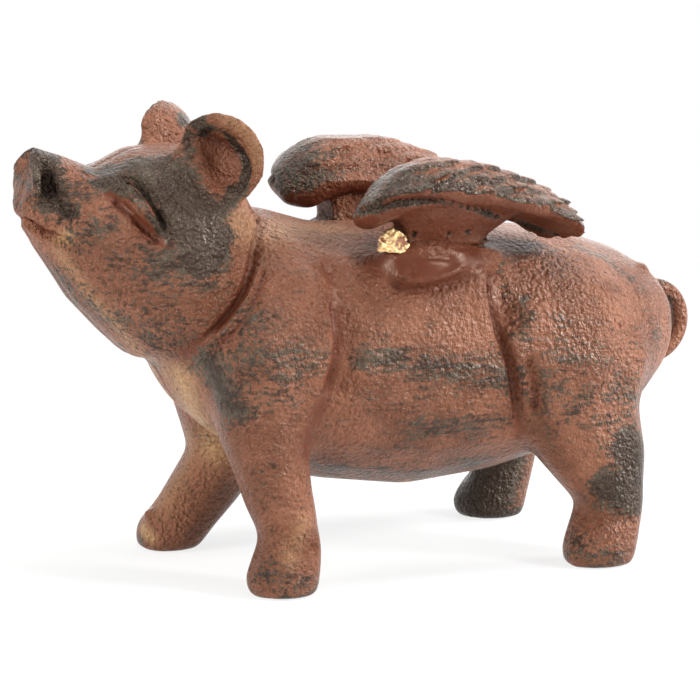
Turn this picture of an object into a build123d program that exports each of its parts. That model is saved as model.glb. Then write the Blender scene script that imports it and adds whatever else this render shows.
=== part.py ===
from build123d import *
import os
from math import atan2, copysign, cos, pi, radians, sin

os.makedirs("parts", exist_ok=True)

# A cast iron winged pig. The nose points to -X, the left side is -Y, the hooves stand on Z = 0.
# The body is cast in two hollow halves that meet on the middle plane, Y = 0.

# Driving dimensions, in millimetres

# Trunk
head_reach = 25.0  # tip of the snout to the front of the chest
trunk_length = 97.5
tail_reach = 7.5  # rump to the back of the curled tail
belly_height = 13.0
trunk_height = 47.0
trunk_width = 47.0
casting_wall = 4.0

# Head
head_length = 33.1
head_depth = 34.2
head_width = 36.6
snout_height = 69.1
nostril_depth = 1.8
nostril_length = 4.6
nostril_width = 2.2

# Ears
ear_radius = 8.3
ear_depth = 6.2
ear_wall = 2.3
ear_turn = 56.0  # degrees outward from straight ahead

# Legs
shoulder_height = 52.0
shoulder_length = 20.0
shoulder_width = 19.2
front_track = 37.8
haunch_height = 50.0
haunch_length = 35.0
haunch_width = 22.4
rear_track = 40.4

# Tail
tail_thickness = 3.3
curl_radius = 6.4

# Wings
wing_length = 45.2
wing_width = 18.4
wing_crest = 72.4  # height of the wing's ridge above the ground
wing_drop = 16.0  # crest down to the tip of the longest feathers
feather_step = 0.55
feather_row = 4.2
scallop_depth = 0.7
foot_length = 23.0
foot_width = 8.0
tenon_inset = 1.8  # the foot's shoulder around its tenon
tenon_depth = 3.4
seat_height = 57.3  # top of the boss that the foot's shoulder rests on

# Braze
braze_width = 6.0
braze_height = 6.4

# Screw and the castings' joint
screw_radius = 2.0
screw_grip = 14.0  # engagement in the left half
head_radius = 3.7
head_thickness = 2.6
head_recess = 1.2
slot_width = 1.0
slot_depth = 1.2
boss_radius = 6.0
peg_radius = 1.6
peg_length = 2.0

fit_gap = 0.12
screw_clearance = 0.3
edge_break = 0.4
overrun = 6.0

# Sides of the rings that the castings are lofted through
trunk_sides = 20
head_sides = 18
leg_sides = 10
core_sides = 8
neck_sides = 16
braze_sides = 6
tail_sides = 10
bowl_steps = 3  # round the ear's bowl, from its bottom to its mouth
ear_sides = 20
scallop_steps = 4
dome_steps = 6  # across a wing's top face

# How full a ring is: 2 is an ellipse, more is squarer
trunk_fullness = 2.0
head_fullness = 2.2
neck_fullness = 3.2

# Trunk sections: along from the chest, underside, top line, half width
trunk_shares = [
    (0.000, 0.465, 0.914, 0.43),
    (0.041, 0.350, 0.985, 0.66),
    (0.103, 0.237, 1.040, 0.82),
    (0.185, 0.118, 1.068, 0.92),
    (0.287, 0.049, 1.006, 0.97),
    (0.451, 0.000, 0.992, 1.00),
    (0.615, 0.030, 0.980, 0.99),
    (0.779, 0.107, 0.940, 0.95),
    (0.890, 0.205, 0.865, 0.80),
    (0.955, 0.340, 0.790, 0.60),
    (0.988, 0.465, 0.718, 0.36),
    (1.000, 0.555, 0.655, 0.16),
]
# The casting's cavity, in the trunk's own shares
cavity_shares = [
    (0.130, 0.195, 1.030, 0.83),
    (0.300, 0.049, 1.000, 0.96),
    (0.600, 0.030, 0.975, 0.98),
    (0.870, 0.190, 0.860, 0.80),
]

# Head sections: back from the snout, height, lean in degrees, depth, half width
head_shares = [
    (0.000, 0.000, 17, 0.324, 0.226),
    (0.120, -0.110, 16, 0.468, 0.340),
    (0.255, -0.215, 20, 0.560, 0.480),
    (0.400, -0.232, 22, 0.805, 0.672),
    (0.600, -0.303, 23, 1.000, 0.875),
    (0.800, -0.425, 27, 1.060, 1.000),
    (0.990, -0.545, 27, 0.850, 0.780),
]
nostril_place_share = (0.075, -0.020)
ear_place_share = (0.870, 0.100, 0.69)

# Leg sections: height, lean from the top towards the hoof, half length, half width
front_leg_shares = [
    (0.000, 1.00, 0.575, 0.575),
    (0.070, 1.00, 0.630, 0.630),
    (0.173, 0.92, 0.590, 0.580),
    (0.346, 0.72, 0.620, 0.690),
    (0.519, 0.52, 0.780, 0.850),
    (0.731, 0.36, 1.000, 1.000),
    (0.885, 0.24, 0.880, 0.860),
    (1.000, 0.04, 0.600, 0.500),
]
# Each leg's stride: shift of the section along the pig, and how much it is stretched that way
left_stride_shares = (
    (0.110, 1.00), (0.105, 1.00), (0.170, 1.00), (0.075, 1.00),
    (0.000, 1.00), (0.010, 1.00), (0.025, 1.00), (0.050, 1.00),
)
right_stride_shares = (
    (-0.190, 1.00), (-0.115, 1.16), (0.100, 1.34), (0.310, 1.14),
    (0.190, 1.03), (0.050, 1.00), (0.025, 1.00), (0.050, 1.00),
)
rear_leg_shares = [
    (0.000, 1.00, 0.365, 0.510),
    (0.070, 1.00, 0.395, 0.550),
    (0.215, 0.95, 0.360, 0.500),
    (0.370, 0.82, 0.560, 0.620),
    (0.560, 0.60, 0.760, 0.860),
    (0.740, 0.46, 0.940, 1.000),
    (0.880, 0.26, 0.860, 0.830),
    (1.000, 0.04, 0.520, 0.430),
]
rear_stride_shares = (
    (0.060, 1.00), (0.066, 1.00), (0.125, 1.00), (0.030, 1.00),
    (-0.062, 1.00), (-0.040, 1.00), (-0.015, 1.00), (-0.010, 1.00),
)
shoulder_place_share = 0.138
haunch_place_share = 0.754
leg_top_share = 0.36

tail_height_share = 0.552
curl_start = 110  # degrees from the level line behind the curl's middle
curl_arc = 235

# Wing sections: along, and the drop below the crest of the ridge and of the underside's middle
wing_shares = [
    (-0.02, 0.47, 0.66),
    (0.05, 0.23, 0.50),
    (0.16, 0.06, 0.38),
    (0.31, 0.00, 0.34),
    (0.49, 0.06, 0.38),
    (0.66, 0.20, 0.50),
    (0.84, 0.43, 0.68),
    (1.02, 0.79, 0.97),
]
# How much lower the inner and the outer edge lie than the middle
top_edge_shares = (0.50, 0.23)
under_edge_shares = (0.40, 0.16)
wing_along_share = 0.287
wing_side_share = 0.725
plan_fullness = 2.5
foot_along_share = 0.467
foot_side_share = 0.62
feather_counts = (9, 7, 5)
feather_front = 165  # degrees round the outline, from the rear tip past the outer edge
feather_back = -50
inner_edge_shares = (0.2, 0.4, 0.6, 0.8)
# Neck sections: height above the seat, length, width, lean outward
neck_shares = [
    (0.00, 1.00, 1.00, 0.00),
    (0.26, 0.93, 1.02, 0.06),
    (0.58, 0.82, 1.25, 0.32),
]
# Boss sections: drop below the seat and spread, in foot widths
boss_shares = [
    (1.30, 0.42),
    (0.65, 0.26),
    (0.25, 0.08),
    (0.00, 0.00),
]

# Braze: radius and height of its outline
braze_shares = [
    (1.00, 0.00),
    (0.85, 0.60),
    (0.35, 1.00),
]
braze_place_share = 0.84
braze_side_share = 0.30
braze_sink_share = 0.30

screw_along_share = 0.47
screw_height_share = 0.50
head_peg_share = (0.55, -0.25)
rump_peg_share = (0.955, 0.58)

# Places worked out from the driving dimensions
overall_length = head_reach + trunk_length + tail_reach
nose_x = -overall_length / 2
chest_x = nose_x + head_reach
half_width = trunk_width / 2
snout_x = nose_x + head_shares[0][3] * head_depth * sin(radians(head_shares[0][2])) / 2
wing_x = chest_x + wing_along_share * trunk_length
wing_middle_x = wing_x + wing_length / 2
wing_y = half_width * wing_side_share
foot_x = chest_x + foot_along_share * trunk_length
foot_y = half_width * foot_side_share
screw_x = chest_x + screw_along_share * trunk_length
screw_z = belly_height + screw_height_share * trunk_height
screw_plane = Plane(origin=(screw_x, 0, screw_z), x_dir=(1, 0, 0), z_dir=(0, 1, 0))
screw_seat = half_width - head_recess - head_thickness
peg_places = [
    (snout_x + head_peg_share[0] * head_length, snout_height + head_peg_share[1] * head_depth),
    (chest_x + rump_peg_share[0] * trunk_length, belly_height + rump_peg_share[1] * trunk_height),
]


# The corners of a closed ring, an even number of sides round
def ring(wide, high, sides, fullness):
    corners = []
    for step in range(sides):
        turn = 2 * pi * step / sides
        across = copysign(abs(cos(turn)) ** (2 / fullness), cos(turn))
        upward = copysign(abs(sin(turn)) ** (2 / fullness), sin(turn))
        corners.append((wide * across, high * upward))
    return corners


def trunk_form():
    with BuildPart() as form:
        for along, under, top, wide in trunk_shares:
            middle = belly_height + trunk_height * (under + top) / 2
            high = trunk_height * (top - under) / 2
            place = (chest_x + along * trunk_length, 0, middle)
            with BuildSketch(Plane(origin=place, x_dir=(0, 1, 0), z_dir=(1, 0, 0))):
                with BuildLine():
                    Polyline(ring(half_width * wide, high, trunk_sides, trunk_fullness), close=True)
                make_face()
        loft(ruled=True)
    return form.part


# The hollow inside the casting, a wall's thickness in from the trunk
def cavity_form():
    with BuildPart() as form:
        for along, under, top, wide in cavity_shares:
            middle = belly_height + trunk_height * (under + top) / 2
            high = trunk_height * (top - under) / 2 - casting_wall
            place = (chest_x + along * trunk_length, 0, middle)
            with BuildSketch(Plane(origin=place, x_dir=(0, 1, 0), z_dir=(1, 0, 0))):
                with BuildLine():
                    core = ring(half_width * wide - casting_wall, high, core_sides, trunk_fullness)
                    Polyline(core, close=True)
                make_face()
        loft(ruled=True)
    return form.part


def head_point(along, height):
    return (snout_x + along * head_length, snout_height + height * head_depth)


def head_form():
    with BuildPart() as form:
        for along, height, lean, deep, wide in head_shares:
            x, z = head_point(along, height)
            facing = (cos(radians(lean)), 0, -sin(radians(lean)))
            with BuildSketch(Plane(origin=(x, 0, z), x_dir=(0, 1, 0), z_dir=facing)):
                with BuildLine():
                    section = ring(head_width * wide / 2, head_depth * deep / 2, head_sides, head_fullness)
                    Polyline(section, close=True)
                make_face()
        loft(ruled=True)
    return form.part


def leg_form(side, sections, strides, top_x, track, height, length, width):
    with BuildPart() as form:
        top_y = half_width * leg_top_share
        for (up, lean, long, wide), (stride, stretch) in zip(sections, strides):
            y = top_y + (track / 2 - top_y) * lean
            place = (top_x + stride * length, side * y, up * height)
            with BuildSketch(Plane(origin=place, x_dir=(0, 1, 0), z_dir=(0, 0, 1))):
                with BuildLine():
                    section = ring(width * wide / 2, length * long * stretch / 2, leg_sides, head_fullness)
                    Polyline(section, close=True)
                make_face()
        loft(ruled=True)
    return form.part


# The ear is a round cup that opens forward and outward; its hollow also dishes the cheek
def ear_form(side, wall):
    x, z = head_point(ear_place_share[0], ear_place_share[1])
    y = side * head_width / 2 * ear_place_share[2]
    opening = (-cos(radians(ear_turn)), side * sin(radians(ear_turn)), 0)
    cup = Plane(origin=(x, y, z), x_dir=(0, 0, 1), z_dir=opening)
    mouth = ear_radius - wall
    depth = ear_depth - wall
    bowl_radius = (mouth**2 + depth**2) / (2 * depth)
    mouth_angle = atan2(mouth, bowl_radius - depth)
    bowl = [(wall, mouth + wall / 2)] if wall else []
    for step in range(bowl_steps):
        turn = mouth_angle * (1 - step / bowl_steps)
        bowl.append((bowl_radius - depth - bowl_radius * cos(turn), bowl_radius * sin(turn)))
    bowl.append((-depth, bowl_radius * sin(mouth_angle / bowl_steps) / 2))
    with BuildPart() as form:
        for out, radius in reversed(bowl):
            with BuildSketch(cup.offset(out)):
                RegularPolygon(radius, ear_sides)
        loft(ruled=True)
    return form.part


# A nostril is a slot let into the side of the snout
def nostril_form(side):
    x, z = head_point(nostril_place_share[0], nostril_place_share[1])
    outside = (head_shares[0][-1] + head_shares[1][-1]) * head_width / 4
    with BuildPart() as form:
        place = (x, side * (outside - nostril_depth), z)
        with BuildSketch(Plane(origin=place, x_dir=(0, 0, 1), z_dir=(0, side, 0))):
            SlotOverall(nostril_length, nostril_width)
        extrude(amount=nostril_depth + overrun)
    return form.part


# The tail curls round from the top of the rump and back in below
def tail_form():
    place = (overall_length / 2 - tail_thickness / 2 - curl_radius, 0,
             belly_height + trunk_height * tail_height_share)
    start = radians(curl_start)
    outward = (cos(start), 0, sin(start))
    with BuildPart() as form:
        with BuildSketch(Plane(origin=place, x_dir=outward, z_dir=(outward[2], 0, -outward[0]))):
            with Locations((curl_radius, 0)):
                RegularPolygon(tail_thickness / 2, tail_sides)
        revolve(axis=Axis(place, (0, 1, 0)), revolution_arc=curl_arc)
    return form.part


# A point of the wing's outline from above, which is fuller than an ellipse
def plan_point(long, wide, turn):
    along = copysign(abs(cos(turn)) ** (2 / plan_fullness), cos(turn))
    across = copysign(abs(sin(turn)) ** (2 / plan_fullness), sin(turn))
    return (wing_middle_x + long * along, -wing_y - wide * across)


# One row of feathers cut to a scalloped outline, seen from above
def feather_prism(inset, count):
    long = wing_length / 2 - inset
    wide = wing_width / 2 - inset / 2
    edge = []
    for step in range(scallop_steps * count + 1):
        turn = radians(feather_front + (feather_back - feather_front) * step / (scallop_steps * count))
        reach = scallop_depth * sin(pi * (step % scallop_steps) / scallop_steps)
        edge.append(plan_point(long + reach, wide + reach, turn))
    inner = [edge[-1]]
    for share in inner_edge_shares:
        turn = radians(feather_back + (feather_front - feather_back - 360) * share)
        inner.append(plan_point(long, wide, turn))
    inner.append(edge[0])
    with BuildPart() as form:
        with BuildSketch(Plane.XY.offset(seat_height - overrun)):
            with BuildLine():
                Polyline(edge)
                Polyline(inner)
            make_face()
        extrude(amount=wing_crest - seat_height + 2 * overrun)
    return form.part


# The drop at a place across the wing, from nothing in the middle to its inner edge (1) and outer edge (-1)
def crown(across, inner, outer):
    return (inner - outer) / 2 * across + (inner + outer) / 2 * across**2


# The wing's thickness between its domed top face, lowered by a step, and its underside
def wing_dome(lowered):
    reach = wing_width / 2 + scallop_depth + feather_step
    with BuildPart() as form:
        for along, ridge_drop, under_drop in wing_shares:
            top = []
            under = []
            for step in range(dome_steps + 1):
                across = 1 - 2 * step / dome_steps
                y = -wing_y + across * reach
                top_share = ridge_drop + crown(across, *top_edge_shares)
                under_share = under_drop + crown(across, *under_edge_shares)
                top.append((y, wing_crest - lowered - top_share * wing_drop))
                under.append((y, wing_crest - under_share * wing_drop))
            x = wing_x + along * wing_length
            with BuildSketch(Plane(origin=(x, 0, 0), x_dir=(0, 1, 0), z_dir=(1, 0, 0))):
                with BuildLine():
                    Polyline(*top, *reversed(under), close=True)
                make_face()
        loft(ruled=True)
    return form.part


def neck_form():
    with BuildPart() as form:
        for up, long, wide, lean in neck_shares:
            height = seat_height + fit_gap + up * (wing_crest - seat_height)
            place = (foot_x, -foot_y - lean * foot_width, height)
            with BuildSketch(Plane(origin=place, x_dir=(1, 0, 0))):
                with BuildLine():
                    section = ring(foot_length * long / 2, foot_width * wide / 2, neck_sides, neck_fullness)
                    Polyline(section, close=True)
                make_face()
        loft(ruled=True)
    return form.part


# The swelling of the flank that the wing's foot stands on, with the pocket for the foot's tenon
def boss_form(side):
    with BuildPart() as form:
        for drop, spread in boss_shares:
            place = (foot_x, side * foot_y, seat_height - drop * foot_width)
            reach = spread * foot_width
            with BuildSketch(Plane(origin=place, x_dir=(1, 0, 0))):
                with BuildLine():
                    section = ring(foot_length / 2 + reach, foot_width / 2 + reach, neck_sides, neck_fullness)
                    Polyline(section, close=True)
                make_face()
        loft(ruled=True)
    return form.part


def pocket_form(side):
    place = (foot_x, side * foot_y, seat_height - tenon_depth - fit_gap)
    with BuildPart() as form:
        with BuildSketch(Plane(origin=place, x_dir=(1, 0, 0))):
            spread = 2 * (fit_gap - tenon_inset)
            SlotOverall(foot_length + spread, foot_width + spread)
        extrude(amount=tenon_depth + overrun)
    return form.part


def cast_half(side, strides):
    trunk = trunk_form()
    cavity = cavity_form()
    head = head_form()
    front_leg = leg_form(side, front_leg_shares, strides, chest_x + shoulder_place_share * trunk_length,
                         front_track, shoulder_height, shoulder_length, shoulder_width)
    rear_leg = leg_form(side, rear_leg_shares, rear_stride_shares,
                        chest_x + haunch_place_share * trunk_length,
                        rear_track, haunch_height, haunch_length, haunch_width)
    ear = ear_form(side, 0.0)
    ear_hollow = ear_form(side, ear_wall)
    tail = tail_form()
    boss = boss_form(side)
    pocket = pocket_form(side)
    nostril = nostril_form(side)
    with BuildPart() as half:
        add(trunk)
        add(head)
        add(tail)
        add(front_leg)
        add(rear_leg)
        add(ear)
        add(ear_hollow, mode=Mode.SUBTRACT)
        add(boss)
        add(cavity, mode=Mode.SUBTRACT)
        add(nostril, mode=Mode.SUBTRACT)
        add(pocket, mode=Mode.SUBTRACT)
        split(bisect_by=Plane.XZ, keep=Keep.TOP if side < 0 else Keep.BOTTOM)
    return half.part


left_stock = cast_half(-1, left_stride_shares)
right_stock = cast_half(1, right_stride_shares)

# Left half, with the threaded boss and the pegs that register the joint
with BuildPart() as body_left_half:
    add(left_stock)
    with BuildSketch(screw_plane):
        Circle(boss_radius)
    extrude(amount=-(half_width - casting_wall / 2))
    with BuildSketch(screw_plane):
        Circle(screw_radius + fit_gap)
    extrude(amount=-(screw_grip + screw_radius), mode=Mode.SUBTRACT)
    for x, z in peg_places:
        with BuildSketch(Plane(origin=(x, -peg_length, z), x_dir=(1, 0, 0), z_dir=(0, 1, 0))):
            Circle(peg_radius)
        extrude(amount=2 * peg_length)
body_left_half.part.label = "body_left_half"
export_step(body_left_half.part, "parts/body_left_half.step")

# Right half, with the clearance hole, the recess for the screw's head and the peg sockets
with BuildPart() as body_right_half:
    add(right_stock)
    with BuildSketch(screw_plane):
        Circle(boss_radius)
    extrude(amount=half_width - casting_wall / 2)
    with BuildSketch(screw_plane):
        Circle(screw_radius + screw_clearance)
    extrude(amount=half_width + overrun, mode=Mode.SUBTRACT)
    with BuildSketch(screw_plane.offset(screw_seat)):
        Circle(head_radius + screw_clearance)
    extrude(amount=half_width - screw_seat + overrun, mode=Mode.SUBTRACT)
    for x, z in peg_places:
        with BuildSketch(Plane(origin=(x, 0, z), x_dir=(1, 0, 0), z_dir=(0, 1, 0))):
            Circle(peg_radius + fit_gap)
        extrude(amount=peg_length + screw_clearance, mode=Mode.SUBTRACT)
body_right_half.part.label = "body_right_half"
export_step(body_right_half.part, "parts/body_right_half.step")

# Body screw, in from the right flank
with BuildPart() as body_screw:
    with BuildSketch(screw_plane.offset(-screw_grip)):
        Circle(screw_radius)
    extrude(amount=screw_grip + screw_seat)
    with BuildSketch(screw_plane.offset(screw_seat)):
        Circle(head_radius)
    extrude(amount=head_thickness)
    rims = body_screw.edges().filter_by(GeomType.CIRCLE).sort_by(Axis.Y)
    chamfer([rims[0], rims[-1]], edge_break)
    with BuildSketch(screw_plane.offset(screw_seat + head_thickness)):
        Rectangle(2 * head_radius + overrun, slot_width)
    extrude(amount=-slot_depth, mode=Mode.SUBTRACT)
body_screw.part.label = "body_screw"
export_step(body_screw.part, "parts/body_screw.step")

# Left wing: a tenon, a neck that leans outward, and three rows of feathers, each a step above the last
neck = neck_form()
feather_rows = []
for row, count in enumerate(feather_counts):
    dome = wing_dome(feather_step * (len(feather_counts) - 1 - row))
    prism = feather_prism(row * feather_row, count)
    with BuildPart() as feathers:
        add(dome)
        add(prism, mode=Mode.INTERSECT)
    feather_rows.append(feathers.part)

with BuildPart() as left_wing:
    tenon_place = (foot_x, -foot_y, seat_height - tenon_depth)
    with BuildSketch(Plane(origin=tenon_place, x_dir=(1, 0, 0))):
        SlotOverall(foot_length - 2 * tenon_inset, foot_width - 2 * tenon_inset)
    extrude(amount=tenon_depth + edge_break)
    add(neck)
    for feather_part in feather_rows:
        add(feather_part)
left_wing.part.label = "left_wing"
export_step(left_wing.part, "parts/left_wing.step")

with BuildPart() as right_wing:
    add(left_wing.part)
    mirror(about=Plane.XZ, mode=Mode.REPLACE)
right_wing.part.label = "right_wing"
export_step(right_wing.part, "parts/right_wing.step")

# A lump of braze run in between the foot's end and the boss, towards the front or the rear
def braze_form(side, end, half, blade):
    place_x = foot_x + end * foot_length / 2 * braze_place_share
    place_y = side * (foot_y + foot_width * braze_side_share)
    place = (place_x, place_y, seat_height - braze_height * braze_sink_share)
    pocket = pocket_form(side)
    with BuildPart() as form:
        for wide, up in braze_shares:
            with BuildSketch(Plane(origin=place, x_dir=(1, 0, 0)).offset(braze_height * up)):
                RegularPolygon(braze_width / 2 * wide, braze_sides)
        loft(ruled=True)
        add(pocket, mode=Mode.SUBTRACT)
        add(half, mode=Mode.SUBTRACT)
        add(blade, mode=Mode.SUBTRACT)
    return form.part


left_lump = braze_form(-1, -1, left_stock, left_wing.part)
with BuildPart() as left_wing_braze:
    add(left_lump)
left_wing_braze.part.label = "left_wing_braze"
export_step(left_wing_braze.part, "parts/left_wing_braze.step")

right_lump = braze_form(1, 1, right_stock, right_wing.part)
with BuildPart() as right_wing_braze:
    add(right_lump)
right_wing_braze.part.label = "right_wing_braze"
export_step(right_wing_braze.part, "parts/right_wing_braze.step")
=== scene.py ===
import math

import bmesh
import bpy
import numpy as np
from mathutils import Matrix, Vector
from mathutils.bvhtree import BVHTree


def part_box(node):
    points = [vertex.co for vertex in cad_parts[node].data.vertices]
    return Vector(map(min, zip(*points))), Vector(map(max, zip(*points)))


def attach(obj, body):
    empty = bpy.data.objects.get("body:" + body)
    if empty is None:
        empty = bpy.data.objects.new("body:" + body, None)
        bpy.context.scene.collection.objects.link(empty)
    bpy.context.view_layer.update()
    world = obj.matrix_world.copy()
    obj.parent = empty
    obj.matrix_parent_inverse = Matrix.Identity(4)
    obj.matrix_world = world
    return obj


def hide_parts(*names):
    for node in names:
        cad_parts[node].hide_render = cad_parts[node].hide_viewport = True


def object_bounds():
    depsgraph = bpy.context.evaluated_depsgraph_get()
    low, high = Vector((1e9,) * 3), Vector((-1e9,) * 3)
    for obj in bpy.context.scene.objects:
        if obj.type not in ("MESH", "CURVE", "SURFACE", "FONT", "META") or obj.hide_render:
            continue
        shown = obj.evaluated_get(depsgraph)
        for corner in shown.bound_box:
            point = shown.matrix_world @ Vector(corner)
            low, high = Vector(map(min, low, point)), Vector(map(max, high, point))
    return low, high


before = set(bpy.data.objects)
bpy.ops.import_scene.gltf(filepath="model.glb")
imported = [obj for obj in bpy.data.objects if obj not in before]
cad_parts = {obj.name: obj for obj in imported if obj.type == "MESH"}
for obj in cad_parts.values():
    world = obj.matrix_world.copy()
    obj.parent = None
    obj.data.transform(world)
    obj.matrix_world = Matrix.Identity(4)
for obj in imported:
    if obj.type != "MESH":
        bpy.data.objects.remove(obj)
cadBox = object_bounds()
mm = 0.001

# Cast iron pig with two wings. The snout points to -X, its left side is -Y, the hooves stand on Z = 0.

# The photograph's view; distances in millimetres, angles in degrees
view = {
    "turn": 25.6,
    "rise": 9.9,
    "roll": 0.9,
    "aim": (-3.8, 0.0, 37.1),
    "distance": 500.0,
    "lens": 147.48,
    "sensor": 36.0,
    "picture": 700,  # pixels across
    "clip": (0.01, 20.0),  # metres
}


def viewAxes():
    turn, rise, roll = (math.radians(view[key]) for key in ("turn", "rise", "roll"))
    back = Vector((-math.sin(turn) * math.cos(rise), -math.cos(turn) * math.cos(rise), math.sin(rise)))
    level = (-back).cross(Vector((0, 0, 1))).normalized()
    upright = level.cross(-back)
    right = level * math.cos(roll) + upright * math.sin(roll)
    up = upright * math.cos(roll) - level * math.sin(roll)
    return right, up, back


viewRight, viewUp, viewBack = viewAxes()
viewPoint = Vector(view["aim"]) + viewBack * view["distance"]


def makeCamera():
    data = bpy.data.cameras.new("camera")
    data.sensor_width = view["sensor"]
    data.lens = view["lens"]
    data.clip_start, data.clip_end = view["clip"]
    camera = bpy.data.objects.new("camera", data)
    turned = Matrix((viewRight, viewUp, viewBack)).transposed().to_4x4()
    turned.translation = viewPoint * mm
    camera.matrix_world = turned
    bpy.context.scene.collection.objects.link(camera)
    bpy.context.scene.camera = camera


makeCamera()
print("camera placed")


# A shader socket that can be added to, multiplied and stepped
class Wire:
    def __init__(self, paint, socket):
        self.paint = paint
        self.socket = socket

    def __add__(self, other):
        return self.paint.sum("ADD", self, other)

    def __radd__(self, other):
        return self.paint.sum("ADD", other, self)

    def __sub__(self, other):
        return self.paint.sum("SUBTRACT", self, other)

    def __rsub__(self, other):
        return self.paint.sum("SUBTRACT", other, self)

    def __mul__(self, other):
        return self.paint.sum("MULTIPLY", self, other)

    def __rmul__(self, other):
        return self.paint.sum("MULTIPLY", other, self)

    def step(self, low, high):  # 0 below low, 1 above high, smooth between
        return self.paint.add("ShaderNodeMapRange", {"interpolation_type": "SMOOTHSTEP"},
                              {"Value": self, "From Min": low, "From Max": high}, "Result")


class Paint:
    def __init__(self, name):
        self.material = bpy.data.materials.new(name)
        self.material.use_nodes = True
        self.tree = self.material.node_tree
        self.tree.nodes.clear()
        self.object = self.add("ShaderNodeTexCoord", {}, {}, "Object")

    # One node: its settings first, then its inputs; gives the wanted output
    def add(self, kind, settings, inputs, output=0):
        node = self.tree.nodes.new(kind)
        for key, value in settings.items():
            setattr(node, key, value)
        for key, value in inputs.items():
            socket = node.inputs[key]
            if isinstance(value, Wire):
                self.tree.links.new(value.socket, socket)
            elif socket.type == "RGBA" and len(value) == 3:
                socket.default_value = (*value, 1)
            else:
                socket.default_value = value
        return Wire(self, node.outputs[output])

    def sum(self, operation, first, second):
        return self.add("ShaderNodeMath", {"operation": operation}, {0: first, 1: second})

    def mix(self, mask, first, second):
        return self.add("ShaderNodeMix", {"data_type": "RGBA", "clamp_factor": True},
                        {0: mask, 6: first, 7: second}, 2)

    def noise(self, scale, detail=3.0, rough=0.5, stretch=None, warp=0.0):
        place = self.object
        if stretch:
            place = self.add("ShaderNodeMapping", {}, {"Vector": self.object, "Scale": stretch})
        return self.add("ShaderNodeTexNoise", {}, {"Vector": place, "Scale": scale, "Detail": detail,
                                                   "Roughness": rough, "Distortion": warp})

    def cells(self, scale, feature="F1"):
        return self.add("ShaderNodeTexVoronoi", {"feature": feature},
                        {"Vector": self.object, "Scale": scale}, "Distance")

    def attribute(self, name):
        return self.add("ShaderNodeAttribute", {"attribute_name": name}, {}, "Fac")

    def bump(self, height, distance, normal=None, strength=1.0):
        inputs = {"Height": height, "Distance": distance, "Strength": strength}
        if normal:
            inputs["Normal"] = normal
        return self.add("ShaderNodeBump", {}, inputs)

    def finish(self, inputs):
        return self.output(self.add("ShaderNodeBsdfPrincipled", {}, inputs))

    def output(self, shader):
        out = self.tree.nodes.new("ShaderNodeOutputMaterial")
        self.tree.links.new(shader.socket, out.inputs["Surface"])
        return self.material


# Satin red-brown paint over sand-cast iron, with a dark dry-brushed patina, and painted shade in creases,
# hollows, under the belly and on the far rear leg. A noise is its scale, detail, roughness, stretch and
# warp.
# Scales are counts per metre, and an edge runs from nothing to all.
ironPaint = {
    "red": (0.130, 0.045, 0.023),
    "lightRed": (0.210, 0.080, 0.044),
    "patches": (95, 4, 0.6),  # of the lighter red
    "patchEdge": (0.36, 0.66),
    # Darker red, painted as shade in hollows and creases
    "grooveShade": (0.085, 0.020, 0.009),
    "grooveShadeEdge": (0.02, 0.30),  # millimetres under the skin around it, where hollows get painted shade
    # how far the smooth layer's painted shade darkens toward the groove red
    "calmShadeShare": 0.8,
    "tan": (0.42, 0.25, 0.12),  # where the paint is worn, and as painted highlights on lit parts
    "tanCover": (0.5, 0.8),  # everywhere, and on the grains
    # near-black of the patina, also used as painted shade
    "patinaAndShade": (0.012, 0.010, 0.008),
    "patinaGrey": (0.050, 0.046, 0.033),
    "smudges": (330, 3, 0.6),  # of the grey
    "smudgeEdge": (0.40, 0.64),
    "thickEdge": (0.85, 1.2),  # thick patina is less grey
    "thickBlack": 0.8,
    "streaks": (1500, 4, 0.6, (0.11, 0.8, 1.0), 0.2),  # fine brush marks along the body
    "strokes": (420, 4, 0.65, (0.22, 0.8, 1.0), 0.4),
    "cover": {"relief": 0.3, "streaks": 1.7, "strokes": 1.1, "sand": 1.5, "calmShade": 0.25},
    "coverEdge": (0.26, 0.86),
    "coverMost": 0.93,
    "sand": (1500, 2.5, 0.55),
    "beads": 1050,
    "grains": {"sand": 0.8, "beads": 0.45, "calmShade": 0.75},
    "grainHeight": 0.0013,
    "pits": 300,
    "pitEdge": (0.04, 0.13),
    "pitDepth": 0.00022,
    "pitStrength": 0.9,
    "roughness": 0.27,
    "dulled": {"sand": 0.3, "patches": 0.08, "patinaAndShade": 0.05, "calmShade": 0.08},
    "dulledEdge": (0.4, 0.7),
    "gloss": 0.36,
    "sheen": (1.0, 0.74, 0.58),  # the gloss is tinted by the paint
}


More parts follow.
